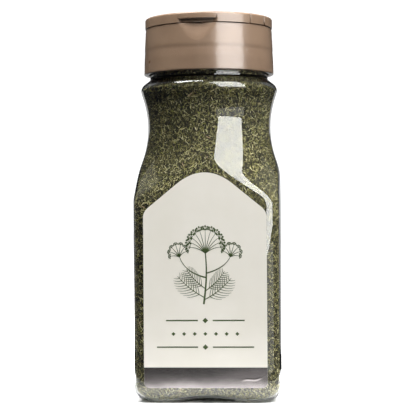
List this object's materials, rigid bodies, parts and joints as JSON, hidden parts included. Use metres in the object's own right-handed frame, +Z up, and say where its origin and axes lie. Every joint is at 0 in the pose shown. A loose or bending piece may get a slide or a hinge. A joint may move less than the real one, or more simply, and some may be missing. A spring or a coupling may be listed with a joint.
{
  "type": "spice jar",
  "caption": "Clear square-bodied spice jar with a round waist, filled with dried dill weed and closed by a bronze screw cap whose flaps open over shaker holes and a spoon opening.",
  "frame": {"origin": "on the floor under the middle of the base", "axes": "+Z up along the jar, -Y towards the label, +X to the label's right"},
  "size_m": [0.064, 0.0644, 0.17],
  "materials": {
    "clear_pet": "smooth clear blow-moulded PET, glossy",
    "dried_dill": "matte dried herb needles, mixed dark and light olive",
    "label_paper": "smooth cream paper with a dark metallic band",
    "bronze_plastic": "moulded polypropylene with a fine metallic flake, satin",
    "clear_film": "clear shrink film with a crease"
  },
  "bodies": {
    "jar": {"jar_body": "clear_pet", "dill_weed": "dried_dill", "front_label": "label_paper", "cap_base": "bronze_plastic", "shrink_band": "clear_film"},
    "shaker_flap": {"shaker_flap": "bronze_plastic"},
    "spoon_flap": {"spoon_flap": "bronze_plastic"}
  },
  "joints": [
    {"name": "shaker_hinge", "type": "hinge", "parent": "jar", "child": "shaker_flap", "pos_m": [-0.00295, -0.01705, 0.1699], "axis": [-0.9854, 0.1702, 0], "range_deg": [0, 105]},
    {"name": "spoon_hinge", "type": "hinge", "parent": "jar", "child": "spoon_flap", "pos_m": [-0.00152, -0.00877, 0.1699], "axis": [0.9854, -0.1702, 0], "range_deg": [0, 105]}
  ]
}
